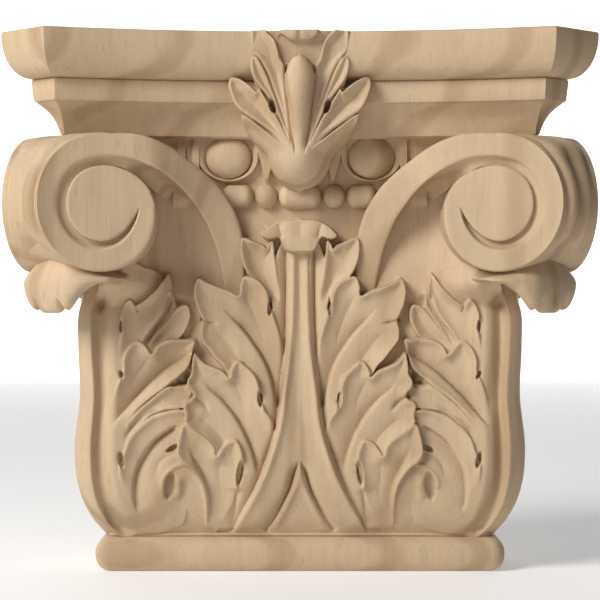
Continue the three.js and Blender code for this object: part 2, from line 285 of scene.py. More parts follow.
def close_onto(piece, move):
    """Carries the open edge of a sheet back, and shuts it there."""
    edit(piece, "EDGE")
    bpy.ops.mesh.select_all(action="DESELECT")
    bpy.ops.mesh.select_non_manifold(extend=False, use_wire=False, use_boundary=True,
                                     use_multi_face=False, use_non_contiguous=False,
                                     use_verts=False)
    bpy.ops.mesh.extrude_region()
    object_mode()
    mesh = piece.data
    picked = np.zeros(len(mesh.vertices), bool)
    mesh.vertices.foreach_get("select", picked)
    points = np.zeros(len(mesh.vertices) * 3)
    mesh.vertices.foreach_get("co", points)
    points = points.reshape(-1, 3)
    points[picked] = move(points[picked])
    mesh.vertices.foreach_set("co", points.ravel())
    edit(piece, "EDGE")
    bpy.ops.mesh.edge_face_add()
    bpy.ops.mesh.select_all(action="SELECT")
    bpy.ops.mesh.remove_doubles(threshold=SAME_PLACE)
    bpy.ops.mesh.quads_convert_to_tris(quad_method="BEAUTY", ngon_method="BEAUTY")
    bpy.ops.mesh.normals_make_consistent(inside=False)
    object_mode()
    return piece


def join(pieces, name):
    nothing_selected()
    for piece in pieces:
        piece.select_set(True)
    bpy.context.view_layer.objects.active = pieces[0]
    if len(pieces) > 1:
        bpy.ops.object.join()
    whole = bpy.context.object
    whole.name = name
    whole.data.name = name
    return whole


def thin(piece, most):
    """Brings a dense mesh down to a number of triangles."""
    faces = len(piece.data.polygons)
    if faces > most:
        cut = piece.modifiers.new("Thin", "DECIMATE")
        cut.ratio = most / faces
        nothing_selected()
        bpy.context.view_layer.objects.active = piece
        bpy.ops.object.modifier_apply(modifier=cut.name)


def hand_over(piece, angle=50):
    """Smooth shading, the wood, and its place in the frame."""
    nothing_selected()
    bpy.context.view_layer.objects.active = piece
    piece.select_set(True)
    bpy.ops.object.shade_smooth_by_angle(angle=math.radians(angle))
    piece.data.materials.clear()
    piece.data.materials.append(maple())
    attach(piece, "root")
    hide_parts("capital")
    return piece


# ------------------------------------------------------------------ wood

class Socket:
    """A shader value that takes part in ordinary arithmetic."""

    def __init__(self, nodes, socket):
        self.nodes = nodes
        self.socket = socket

    def _math(self, operation, *values):
        return self.nodes.value("ShaderNodeMath", {"operation": operation}, *values)

    def __add__(self, other):
        return self._math("ADD", self, other)

    def __radd__(self, other):
        return self._math("ADD", other, self)

    def __mul__(self, other):
        return self._math("MULTIPLY", self, other)

    def __rmul__(self, other):
        return self._math("MULTIPLY", other, self)


class Nodes:
    """Makes the nodes of one material."""

    def __init__(self, tree):
        self.tree = tree

    def node(self, kind, settings, inputs):
        made = self.tree.nodes.new(kind)
        for key, value in settings.items():
            setattr(made, key, value)
        for key, value in inputs.items():
            if isinstance(value, Socket):
                self.tree.links.new(value.socket, made.inputs[key])
            else:
                made.inputs[key].default_value = value
        return made

    def value(self, kind, settings, *values):
        made = self.node(kind, settings, dict(enumerate(values)))
        return Socket(self, made.outputs[0])

    def step(self, value, low, high):
        made = self.node("ShaderNodeMapRange", {"interpolation_type": "SMOOTHSTEP"},
                         {"Value": value, "From Min": low, "From Max": high})
        return Socket(self, made.outputs["Result"])

    def mix(self, factor, a, b):
        made = self.tree.nodes.new("ShaderNodeMix")
        made.data_type = "RGBA"
        for slot, value in ((0, factor), (6, a), (7, b)):
            if isinstance(value, Socket):
                self.tree.links.new(value.socket, made.inputs[slot])
            elif slot:
                made.inputs[slot].default_value = (*value, 1)
            else:
                made.inputs[slot].default_value = value
        return Socket(self, made.outputs[2])


def maple():
    """Unfinished maple: pale tan, darker growth lines, upright fibres and small flecks."""
    if "maple_carved" in bpy.data.materials:
        return bpy.data.materials["maple_carved"]
    settings = bpy.context.scene.capital_wood
    material = bpy.data.materials.new("maple_carved")
    material.use_nodes = True
    tree = material.node_tree
    tree.nodes.clear()
    make = Nodes(tree)
    where = Socket(make, make.node("ShaderNodeTexCoord", {}, {}).outputs["Object"])

    def scaled(x, y, z, turn=(0, 0, 0)):
        made = make.node("ShaderNodeMapping", {}, {"Vector": where, "Scale": (x, y, z),
                                                  "Rotation": turn})
        return Socket(make, made.outputs[0])

    def cloud(vector, scale, detail=3.0, roughness=0.5, distortion=0.0):
        made = make.node("ShaderNodeTexNoise", {}, {
            "Vector": vector, "Scale": scale, "Detail": detail, "Roughness": roughness,
            "Distortion": distortion})
        return Socket(make, made.outputs["Fac"])

    fibres = cloud(scaled(1, 1, 0.05), 900, 3, 0.6)
    streaks = cloud(scaled(1, 1, 0.1), 170, 3, 0.55)
    pores = cloud(scaled(1, 1, 0.16), 1250, 1, 0.5)
    mottle = cloud(scaled(1, 1, 1), 22, 3, 0.55)
    broad = cloud(scaled(1, 1, 0.5), 7, 2, 0.5)
    wave = make.node("ShaderNodeTexWave", {"wave_type": "RINGS", "rings_direction": "Z"}, {
        "Vector": Socket(make, make.node("ShaderNodeMapping", {}, {
            "Vector": where, "Location": (0.16, 0.42, 0.0), "Rotation": (0.1, 0.06, 0.0),
            "Scale": (1, 1, 0.1)}).outputs[0]),
        "Scale": 14.0, "Distortion": 2.6, "Detail": 2.0, "Detail Scale": 1.4,
        "Detail Roughness": 0.5})
    rings = make.step(Socket(make, wave.outputs["Fac"]), 0.72, 1.0)
    flecks = make.step(cloud(scaled(1, 1, 0.35), 330, 1, 0.5), 0.70, 0.76)

    base = tuple(settings.wood)
    deep = tuple(settings.growth_line)
    pale = tuple(min(1.0, part * 1.13) for part in base)
    dark = tuple(part * 0.86 for part in base)
    colour = make.mix(make.step(streaks, 0.3, 0.7), dark, pale)
    colour = make.mix(0.55, colour, base)
    colour = make.mix(make.step(broad, 0.35, 0.7) * 0.35, colour, tuple(
        part * shade for part, shade in zip(base, (0.93, 0.88, 0.8))))
    colour = make.mix(make.step(mottle, 0.45, 0.75) * 0.22, colour, pale)
    colour = make.mix(rings * 0.48, colour, deep)
    colour = make.mix(flecks * 0.3, colour, deep)
    colour = make.mix(make.step(fibres, 0.5, 0.75) * 0.24, colour, deep)

    height = fibres * 0.5 + pores * 0.35 + streaks * 0.6 + mottle * 0.8
    bump = make.node("ShaderNodeBump", {}, {"Strength": 0.3, "Distance": 0.0006,
                                            "Height": height})
    shader = make.node("ShaderNodeBsdfPrincipled", {}, {
        "Base Color": colour,
        "Roughness": fibres * 0.14 + 0.56,
        "Normal": Socket(make, bump.outputs[0]),
        "Specular IOR Level": 0.32,
    })
    output = make.node("ShaderNodeOutputMaterial", {}, {})
    tree.links.new(shader.outputs[0], output.inputs[0])
    return material


# ------------------------------------------------------------------ top slab and foot

ROUND_TOP = HEIGHT - 2.0
ROUND_DROP = 21.6
ROUND_IN = 12.4
CAVETTO_TOP = 241.1
CAVETTO_DROP = 14.6
CAVETTO_INSET = 15.4
CAVETTO_RUN = 9.9
CAVETTO_BOW = 1.9
FOOT_ROUND = 8.9
FOOT_BULGE = 7.6
SLAB_LOW_PROFILE = [(253.4, 12.9), (253.1, 13.9), (252.5, 13.1), (251.9, 12.9), (242.5, 13.9),
                    (241.9, 14.2), (241.6, 14.8), (241.4, 15.3)]


def slab_profile():
    """The moulding as (height, inset): quarter-round, fascia, hollow and under-bevel."""
    profile = [(HEIGHT, 1.6), (HEIGHT - 0.2, 0.6), (HEIGHT - 0.7, 0.1), (HEIGHT - 1.6, 0.0)]
    for turn in np.radians(np.linspace(4, 88, 20)):
        profile.append((ROUND_TOP - ROUND_DROP * math.sin(turn), ROUND_IN * (1 - math.cos(turn))))
    profile += SLAB_LOW_PROFILE
    for t in np.linspace(0.05, 1, 14):
        bow = CAVETTO_BOW * math.sin(math.pi * t)
        profile.append((CAVETTO_TOP - CAVETTO_DROP * t + bow * 0.55,
                        CAVETTO_INSET + CAVETTO_RUN * t + bow * 0.7))
    profile += [(225.5, 25.6), (224.6, 27.3)]
    return profile


def horn_at(inset):
    """Where the hollowed face meets the cut corner; the two meet at a point low down."""
    low, high = 60.0, HORN + 6
    for _ in range(40):
        mid = (low + high) / 2
        if bowed(mid, inset) + mid < REACH + HORN - inset * 1.42:
            low = mid
        else:
            high = mid
    return low


def top_slab():
    """The moulded top with its four-centred hollow and cut corners."""
    rings = []
    for z, inset in slab_profile():
        half = slab_ring(inset)
        whole = np.vstack([half, np.stack([-half[::-1, 0], half[::-1, 1]], axis=-1)[1:]])
        rings.append(place(whole[:, 0], whole[:, 1], z))
    piece = sheet("top_slab", np.array(rings))
    return close_flat(piece)


def slab_ring(inset, steps=44):
    horn = horn_at(inset)
    face = bowed(horn, inset)
    us = np.linspace(-horn, 0, steps)
    front = np.stack([us, bowed(us, inset)], axis=-1)
    t = np.linspace(0, 1, 7)[1:-1, None]
    corner = np.array([[-face, horn]]) * (1 - t) + np.array([[-horn, face]]) * t
    sides = np.linspace(WALL, horn, steps // 2)
    side = np.stack([-bowed(sides, inset), sides], axis=-1)
    return np.vstack([side, corner, front])


def close_flat(piece):
    """Caps a shell whose open edge runs along the wall, the top and the bottom."""
    edit(piece, "EDGE")
    bpy.ops.mesh.select_all(action="DESELECT")
    object_mode()
    mesh = piece.data
    points = np.zeros(len(mesh.vertices) * 3)
    mesh.vertices.foreach_get("co", points)
    points = points.reshape(-1, 3)
    ends = [abs(points[:, 2] - height) < TOUCHING
            for height in (points[:, 2].min(), points[:, 2].max())]
    wall = points[:, 1] > BACK * MM - TOUCHING
    for flags in (*ends, wall):
        object_mode()
        mesh.vertices.foreach_set("select", flags)
        edit(piece, "VERT")
        bpy.ops.mesh.edge_face_add()
    bpy.ops.mesh.select_all(action="SELECT")
    bpy.ops.mesh.quads_convert_to_tris(quad_method="BEAUTY", ngon_method="BEAUTY")
    bpy.ops.mesh.normals_make_consistent(inside=False)
    object_mode()
    return piece


def foot():
    """The half-round moulding under the leaves, with a fine bead on top of it."""
    profile = [(0.0, 7.9)]
    for t in np.linspace(0.06, 0.94, 22):
        angle = math.pi * (1 - t)
        profile.append((FOOT_ROUND + FOOT_ROUND * math.cos(angle),
                        FOOT_BULGE * (1 - math.sin(angle) ** 0.85)))
    profile += [(17.9, 7.2), (18.2, 6.6), (18.9, 6.3), (19.6, 6.7), (20.0, 8.0)]
    rings = []
    for z, inset in profile:
        reach = FOOT_REACH - inset
        round_off = max(7.0 - inset * 0.5, 2.5)
        turn = np.linspace(0, math.pi / 2, 12)
        corner = np.stack([-(reach - round_off) - round_off * np.cos(turn),
                           (reach - round_off) + round_off * np.sin(turn)], axis=-1)
        side = np.stack([np.full(30, -reach), np.linspace(WALL, reach - round_off, 31)[:-1]],
                        axis=-1)
        us = np.linspace(-(reach - round_off), 0, 50)[1:]
        front = np.stack([us, np.full(49, reach)], axis=-1)
        half_ring = np.vstack([side, corner, front])
        ring = np.vstack([half_ring, np.stack([-half_ring[::-1, 0], half_ring[::-1, 1]],
                                              axis=-1)[1:]])
        rings.append(place(ring[:, 0], ring[:, 1], z))
    return close_flat(sheet("foot_moulding", np.array(rings)))


# ------------------------------------------------------------------ leaves round the bell

def corner_leaf(carve):
    """Half of a corner leaf, from its tips at the front's middle out to the corner."""
    body = [(106, 19), (84, 19), (62, 22), (58, 44), (61, 72), (63, 96), (66, 116), (63, 134),
            (70, 152), (80, 158), (106, 160)]
    carve.lobe(body, (70, 20), (100, 100), (3.2, 3.4), scoop=0.3, rim=0.2, fade=0.01)
    # upper leaflet
    carve.lobe([(64.8, 136), (60.5, 138.6), (57.6, 137.6), (56.7, 134), (57, 130.5),
                (59, 125.4), (62.5, 120.8), (70, 117), (78, 116), (76, 121), (70, 129)],
               (79, 117), (58, 136), (2.4, 5.4), scoop=2.8, rim=0.4, spread=3.6, fade=0.3)
    carve.lobe([(68, 155), (66, 150), (66, 144), (70, 134), (75, 127), (79, 120), (84, 112),
                (93, 112), (92.3, 124), (92.2, 133), (90.4, 138.6), (87.2, 141.2),
                (84.6, 138.6), (80, 141), (74.4, 146), (71, 150.5)],
               (88, 108), (69, 153), (3.2, 8.8), scoop=2.2, rim=0.5, spread=3.4, fade=0.3)
    carve.channel([(67.2, 145), (68.6, 137.6), (71.2, 132.4), (75.7, 126.4), (79.6, 120.8),
                   (82.5, 116)], 4.6, 0.55, 5.0, start=0.12, end=0.25)
    carve.ridge([(65.6, 147), (66.3, 138), (70.5, 130.6), (74.4, 124.4), (77, 118.4),
                 (77.5, 114)], 1.3, 3.0, start=0.1, end=0.2)
    carve.ridge([(69.4, 152), (73.6, 146.6), (79, 141.4), (84, 138)], 1.0, 2.6)
    carve.channel([(84.8, 139), (84.2, 136.4), (83.4, 134.6)], 1.6, 0.7, 0.7)
    # second leaflet
    carve.lobe([(54, 120.4), (55, 115), (58, 105.4), (68.9, 96.2), (76, 91), (84, 84),
                (90, 76), (98, 72), (97, 88), (93.4, 99), (91.2, 103), (91, 110),
                (89.4, 114.8), (86.6, 118.6), (83.2, 120), (79.6, 117.6), (76.4, 113.2),
                (74, 117), (70, 119.8), (65.4, 120.7), (60, 120.6)],
               (94, 78), (56, 117), (3.2, 7.4), scoop=2.4, rim=0.5, spread=3.6, fade=0.28)
    carve.channel([(54, 115.2), (59.5, 111.2), (64.8, 108.1), (70, 104.6), (75.2, 100),
                   (79.8, 95.5), (84.4, 90.9), (90, 84.5), (93.6, 80.2), (97.4, 75)],
                  5.0, 6.0, 0.55, start=0.08, end=0.2)
    carve.channel([(77, 112.6), (80, 108), (84.4, 102), (88, 95)], 1.2, 3.0, 3.0, start=0.1,
                  end=0.4)
    # third leaflet
    carve.lobe([(52, 98), (58.5, 97.8), (63, 97.2), (68.9, 96), (76, 90.6), (84, 83.4),
                (90, 75), (88, 70), (84, 74), (78, 80.5), (70, 84), (60, 85), (52, 86)],
               (92, 70), (60, 96), (2.6, 5.4), scoop=1.6, rim=0.6, spread=3.2, fade=0.25)
    carve.lobe([(54.6, 86), (57.4, 85), (60.2, 84.6), (66, 84.2), (75.2, 81.6), (80.9, 77.6),
                (85.5, 73.5), (88.4, 68.9), (90, 64), (93, 54), (90, 40), (84, 28),
                (70, 19), (44, 19), (44, 40), (50, 60), (54, 76)],
               (88, 40), (62, 84), (3.2, 5.6), scoop=2.0, rim=0.6, spread=4.0, fade=0.22)
    carve.channel([(62, 76.4), (65.1, 75), (69.4, 72.2), (75.2, 67.6), (79.8, 61.3),
                   (83.2, 55), (85, 48.6), (85.4, 40.6), (84.8, 34.8), (83.2, 30)],
                  4.0, 0.6, 4.6, start=0.1, end=0.12)
    carve.channel([(70, 84.6), (76, 83.4), (82.6, 79), (87.8, 73.6), (90.6, 67.4)],
                  1.7, 1.0, 3.0, start=0.2, end=0.25)
    # lowest lobe with its round eye
    carve.channel([(62.4, 63.4), (66.6, 61.4), (71.4, 58.4), (74, 53), (74.6, 46)],
                  1.3, 3.2, 1.6, start=0.15, end=0.4)
    carve.ridge([(59, 55.3), (62.6, 55.6), (66.6, 53.4), (70.6, 48.6), (71, 42)], 0.9, 2.6)
    carve.ridge([(63.7, 62), (61.6, 58.6), (59, 55.4)], 0.8, 1.6)
    carve.eye(65.6, 64.6, 7.4, 2.7, 62, 4.2)
    carve.eye(67.2, 45, 14.6, 5.4, 8, 4.2)
    carve.ridge([(63.8, 50.6), (62.4, 46), (62.8, 41), (65.2, 37.8)], 1.9, 4.6, 0.25, 0.25)
    # drops beside the corner rib
    carve.eye(92, 127.4, 7.0, 1.9, 0, 3.4)
    carve.eye(91.9, 102.4, 4.6, 2.2, -24, 3.6)
    carve.eye(91.7, 58.8, 8.6, 3.0, -10, 4.2)
    carve.channel([(58.5, 105), (58.7, 98), (63, 97.4), (68, 96.4)], 5.5, 1.6, 1.2, 0.2, 0.3)


def stem(carve):
    """The middle leaf's stem: two round edges that part low down, and a small leaf between."""
    edge_line = [(34.8, 18), (34, 21.7), (29.4, 30.3), (24.8, 38.9), (20.7, 47.5),
                 (17.3, 56.1), (14.4, 64.8), (12.1, 72.8), (10.4, 82), (9.3, 93.5),
                 (7.6, 105), (6.2, 120), (5.6, 140), (5.4, 160), (5.2, 170)]
    outline = edge_line + [(-4, 170), (-4, 18)]
    carve.lobe(outline, (0, 10), (0, 60), (3.8, 3.8), scoop=1.4, rim=0.2, edge=1.5, fade=0.01,
               spread=7.0)
    carve.ridge([(34, 19), (29, 28.8), (24.2, 37.4), (19.9, 46), (16.4, 54.6), (13.4, 63.4),
                 (11, 71.6), (9.2, 81), (8, 93), (6.2, 105), (4.6, 120), (3.6, 140),
                 (3.4, 168)], 1.5, 4.2, 0.05, 0.02)
    carve.channel([(36.4, 19), (30.6, 30.8), (26, 39.6), (22, 48), (18.6, 56.7), (15.8, 65),
                   (13.6, 73), (12, 82.4), (10.9, 93.8), (9.4, 106), (8, 121), (7.4, 140),
                   (7.4, 160), (7.6, 171)], 4.2, 1.3, 1.9, 0.04, 0.02)
    carve.channel([(0.2, 60), (0.6, 57), (2.9, 51.6), (5.2, 43.5), (8.1, 37.2), (11.6, 30.3),
                   (14.4, 25.7), (17.9, 20.2)], 6.5, 1.5, 0.8, 0.25, 0.02)
    carve.ridge([(0, 50), (4.4, 40), (9, 30), (13, 21)], 1.4, 3.4, 0.3, 0.02)


def middle_leaf(carve):
    """Half of the middle leaf, drawn from the top leaflet down to the foot."""
    body = [(6, 172), (12, 166), (15, 150), (15, 130), (18, 116), (30, 104), (34, 88),
            (40, 70), (46, 50), (47, 19), (20, 19), (8, 60), (4, 120)]
    carve.lobe(body, (20, 20), (12, 170), (2.6, 5.0), scoop=0.4, rim=0.2, fade=0.01)
    # top leaflet
    carve.lobe([(9, 140), (11.4, 152), (13, 164), (14, 172), (16.4, 170), (17.3, 167.9),
                (19.4, 169.8), (24.8, 171.9), (28.6, 173.4), (30.8, 172.6), (31.2, 166), (30, 160.3),
                (28.3, 156.3), (26.6, 153.6), (22, 148), (15, 138)],
               (15, 136), (29, 172), (3.4, 7.2), scoop=3.2, rim=0.4, spread=3.8, fade=0.22)
    # second leaflet
    carve.lobe([(52.6, 152.4), (49, 150.6), (45.5, 149), (42, 147.6), (36.3, 145.5),
                (31.6, 143.4), (31.2, 148.2), (29.2, 153), (24.8, 152.6), (21.3, 150.9),
                (18.4, 148), (16.5, 144.4), (15.6, 139), (12.5, 130), (9, 118), (8, 100),
                (8.6, 84), (14.4, 76), (20, 84), (30, 98), (36.3, 100.3), (38, 102.8),
                (40.3, 106.9), (43.7, 110.3), (47.2, 114.9), (49.8, 118), (51.4, 121),
                (51.6, 125.4), (50.6, 129.6), (51, 131.6), (52.2, 134), (54, 138.5),
                (55, 143.6), (54.8, 148.4)],
               (14, 80), (52, 150), (3.2, 8.6), scoop=2.3, rim=0.5, spread=3.8, fade=0.3)
    carve.channel([(42, 137.8), (39.7, 136.1), (35.1, 131.5), (30.5, 127), (27, 122.9),
                   (24.2, 118.9), (21.3, 114.9), (19, 110.9), (16.7, 106.3), (14.6, 100),
                   (13.4, 95), (12.4, 90), (11.8, 84)], 4.4, 0.5, 6.0, 0.3, 0.08)
    carve.channel([(46, 126), (40, 121), (34, 113), (28, 103), (24, 94)], 1.7, 4.5, 4.0, 0.2,
                  0.35)
    carve.channel([(52, 130.9), (48, 129.6), (45, 129), (42, 128.6)], 2.4, 0.8, 0.8, 0.01,
                  0.5)
    carve.channel([(30.6, 146), (27, 140), (23.6, 133), (20.4, 124), (17.6, 114)], 1.3, 3.2,
                  3.2, 0.12, 0.4)
    # third leaflet
    carve.lobe([(54.6, 113.8), (52.4, 111.8), (49.6, 108.8), (45.6, 106.8), (40.3, 104.6),
                (36.6, 101.2), (36.1, 104), (35.1, 106.5), (33.2, 108.9), (31, 109.3),
                (28.2, 107), (25.1, 104.4), (22.5, 101), (21, 96.4), (20.4, 92), (18, 84), (14, 78),
                (13, 66), (17, 50), (30, 44), (38, 58), (42.9, 61), (44.3, 64.8),
                (47.2, 68.2), (50.6, 71.1), (54.7, 73.7), (58.4, 76.6), (59.5, 78.4),
                (59, 82), (60, 86), (58.7, 88.5), (56, 89.8), (54.9, 91.6), (55.7, 93.7),
                (57.7, 95.8), (58.2, 99.3), (56.2, 103), (55.8, 108)],
               (24, 48), (54, 112), (3.0, 8.6), scoop=2.3, rim=0.5, spread=3.8, fade=0.3)
    carve.channel([(50.6, 101), (49.5, 98.7), (45.5, 94.1), (42, 91.2), (39.7, 88.9),
                   (36.3, 84.9), (32.8, 80.3), (29.9, 75.1), (27.6, 70.5), (25.6, 65.3),
                   (23.9, 60.2), (22.6, 55), (21.8, 50)], 4.4, 0.5, 6.0, 0.3, 0.12)
    carve.channel([(56.6, 91.6), (53, 89.9), (49.8, 87), (46, 82)], 2.4, 0.9, 1.4, 0.01, 0.45)
    carve.channel([(53, 81), (47, 76.6), (41, 70.4), (36.4, 62)], 1.6, 3.6, 3.6, 0.2, 0.35)
    carve.channel([(35.4, 101), (32.8, 96), (30, 89), (28.4, 82)], 1.2, 3.0, 3.0, 0.12, 0.4)
    # lowest leaflet
    carve.lobe([(61.8, 73), (60.4, 76.6), (57.6, 77), (54.7, 74.6), (50.6, 72), (47, 69),
                (44, 65.4), (42.8, 61),
                (41, 63.8), (38.6, 66.8), (35.7, 68.6), (32.6, 68.8), (30.3, 65),
                (29.2, 60.2), (29.4, 56), (32, 44), (34, 36), (38, 28), (42, 19), (49.4, 19),
                (48.8, 30), (49.6, 38.9), (50.8, 44.7), (53.7, 50.4), (57.4, 55), (60.6, 57),
                (63.4, 61.9), (62.9, 67.6)],
               (42, 22), (58, 68), (2.0, 6.4), scoop=2.2, rim=0.5, spread=3.6, fade=0.26)
    carve.channel([(57.4, 67), (56.8, 64.1), (54.5, 59), (51.8, 54.4), (49.5, 49.8),
                   (47.8, 45.2), (46.9, 40.6), (46.6, 36), (47.2, 28.6), (48.4, 22)], 3.6, 0.5,
                  4.6, 0.3, 0.2)
    carve.channel([(41.4, 58), (41.6, 50), (41, 42), (41.4, 32)], 1.2, 3.0, 3.0, 0.12, 0.4)
    # drops and pockets beside the stem
    carve.eye(15.6, 136.6, 7.6, 2.6, 2, 4.4)
    carve.eye(20.6, 89.6, 8.6, 2.7, -8, 4.4)
    carve.eye(31, 51.8, 13.6, 3.4, 9, 4.6)
    carve.channel([(32.4, 44), (33.4, 36), (33.8, 30), (36, 22)], 3.6, 3.6, 1.8, 0.12, 0.2)


def leaf_tip(carve):
    """The middle leaf's tip, curled over the head of the stem."""
    carve.lobe([(-5, 166.4), (2.4, 166), (7.2, 166.6), (9.4, 170.4), (11.4, 173.4),
                (14.2, 172.6), (17.2, 172.6), (19.3, 174.2), (17.6, 177), (13.6, 180.2),
                (8.4, 182.4), (3, 182.8), (-5, 182.8)],
               (0, 192), (0, 167), (7.2, 10.4), scoop=-0.9, rim=0.0, spread=4.4, fade=0.1,
               edge=1.0)
    carve.channel([(0, 183), (0, 178), (0, 172)], 1.2, 3.4, 3.4, 0.3, 0.5)
    carve.channel([(11.6, 182), (10.2, 177), (9.4, 172)], 1.4, 1.6, 1.6, 0.3, 0.2)


def face_relief(u, z):
    """Height of the carving above the bell at places on one half of a face."""
    carve = Carving(u, z)
    corner_leaf(carve)
    middle_leaf(carve)
    stem(carve)
    leaf_tip(carve)
    shallow = 0.3 + 0.7 * smooth((z - 16) / 44)
    flat_corner = smooth((104.5 - u) / 6) * 0.999 + 0.001
    relief = carve.h * shallow * flat_corner
    relief += 0.10 * uneven(u, z, 5.0, 3) * smooth((z - 20) / 8)
    return relief


def bell_ground(u, z):
    """The plain bell: its face leans out to a crest beside each corner band."""
    face = row(BELL_Z, BELL_FACE, z)
    corner = row(BELL_Z, BELL_CORNER, z)
    crest = corner - row(BELL_Z, BELL_BAND, z)
    flare = 17 * smooth((u - 66) / 27) * smooth((113 - u) / 12) * smooth((z - 137) / 14)
    hollow = 7 * smooth(1 - np.hypot((u - 107) / 11, (z - 141) / 9))
    return face + (corner - face) * (np.abs(u) / crest) ** 3.2 + flare - hollow


def bell_surface(u, z):
    """A face with its carving and the groove that runs beside the corner band."""
    corner = row(BELL_Z, BELL_CORNER, z)
    crest = corner - row(BELL_Z, BELL_BAND, z)
    out = bell_ground(u, z) + face_relief(u, z)
    groove = np.where(u > crest - 4.2, (crest - u) / 4.2, 1 - (crest - 4.2 - u) / 9)
    out = out - 4.4 * smooth(np.clip(groove, 0, 1)) * smooth((z - 17) / 7)
    level = smooth((crest - u) / 1.2)
    return out * level + corner * (1 - level)


def leaves():
    """The carved bell: both leaves of each face, the corner bands and the sides."""
    settings = bpy.context.scene.capital_sizes
    pitch = settings.leaf_pitch / MM
    heights = np.arange(TORUS_TOP, BELL_TOP + pitch, pitch)
    corner = row(BELL_Z, BELL_CORNER, heights)
    crest = corner - row(BELL_Z, BELL_BAND, heights)
    front_steps = int(108 / pitch)
    t = np.linspace(0, 1, front_steps)
    u = crest[:, None] * t
    z = np.broadcast_to(heights[:, None], u.shape)
    front = place(u, bell_surface(u, z), z)
    side_steps = int((108 - WALL) / pitch)
    v = WALL + (crest[:, None] - WALL) * np.linspace(0, 1, side_steps)
    z = np.broadcast_to(heights[:, None], v.shape)
    side = place(bell_surface(v, z), v, z)
    across = np.linspace(0, 1, 16)[1:-1]
    start, end = front[:, -1:], side[:, -1:]
    band = start + (end - start) * across[None, :, None]
    swell = 0.7 * np.sin(np.pi * across) * MM * smooth((heights[:, None] - 18) / 20)
    band[..., 0] += swell
    band[..., 1] -= swell
    half = np.concatenate([front, band, side[:, ::-1]], axis=1)
    mirrored = half[:, ::-1].copy()
    mirrored[..., 0] *= -1
    whole = np.concatenate([mirrored[:, :-1], half], axis=1)
    piece = close_flat(sheet("leaves", stop_at_wall(whole)))
    thin(piece, settings.leaf_faces)
    return [piece]


# ------------------------------------------------------------------ scrolls and stalks

SCROLL = {"u": 100.0, "z": 190.0, "wide": 31.3, "tall": 35.0}
SCROLL_RADIUS = 33.0
SCROLL_INSET = 2.0
SCROLL_BACK = 86
EYE_EDGE = [(-0.55, 0.3), (-0.22, 0.5), (-0.05, 0.95), (0, 1.6), (0.1, 3.0), (0.2, 6), (0, 14),
            (-0.6, 26), (-1.5, 56)]
SPIRAL_TURN = [0, 8, 17, 27, 37, 54, 72, 90, 135, 180, 225, 270, 311, 336, 352]
EYE_RADIUS = [28.2, 27, 25.6, 23.8, 22, 19.6, 18, 17.3, 17.2, 17.4, 18, 18.5, 18.3, 18.9,
              20.4]
RIM_TURN = [290, 306, 323, 346, 360]
RIM_RADIUS = [32.95, 32.7, 31.8, 29.7, 28.2]
BAND_TURN = [60, 75, 90, 135, 180, 225, 270, 300, 320, 340, 352, 362]
BAND_RADIUS = [25.8, 23.0, 21.7, 21.9, 22.2, 22.5, 22.5, 21.6, 20.8, 20.4, 20.4, 20.4]
STALK_OUTER = [(90, 138.2, 225), (81, 136.4, 224.3), (72.4, 133.2, 221.8),
               (64, 128.8, 217.4), (55.6, 123, 211.4),
               (48.5, 117.5, 205.8), (42.1, 112, 199.5), (37, 107.4, 192.4),
               (33.5, 104.5, 185.9), (30.6, 101.6, 177), (29.3, 99.6, 168), (29, 98.4, 155),
               (29, 97.6, 140)]
STALK_INNER = [(91.6, 138.6, 213.3), (84.6, 137, 212.2), (76, 134.4, 208.8),
               (69.6, 131.4, 205.4),
               (63.6, 126.4, 200.9), (58.2, 119.6, 195.4), (53.6, 113.4, 189.2),
               (49.4, 108.6, 182.4), (46.2, 105, 175), (43.5, 102, 167.4), (41.4, 99.8, 158),
               (39.6, 98.4, 149), (38, 97.2, 138)]
GROOVE_DEPTH = 4.0


def on_scroll(turn, radius):
    """A place on a scroll's face at an angle over the top and a radius from its middle."""
    u = SCROLL["u"] - np.cos(turn) * radius * SCROLL["wide"] / SCROLL_RADIUS
    return u, SCROLL["z"] + np.sin(turn) * radius * SCROLL["tall"] / SCROLL_RADIUS


def scroll_eye():
    """The flat eye of a scroll, which widens at the end of its turn into the band."""
    turns = np.arange(0, 360, 1.5)
    radius = row(SPIRAL_TURN, EYE_RADIUS, turns)
    radius = np.where(turns > 353, row(RIM_TURN, RIM_RADIUS, turns), radius)
    angle = np.radians(turns)
    rings = []
    for share in (0.08, 0.2, 0.35, 0.5, 0.65, 0.8, 0.9, 0.96):
        rings.append((radius * share, 0.25 * share**4))
    rings += [(radius + step, drop) for step, drop in EYE_EDGE]
    points = []
    for reach, drop in rings:
        u, z = on_scroll(angle, reach)
        points.append(place(u, bowed(u, SCROLL_INSET) - drop + 0.03, z))
    return np.array(points)


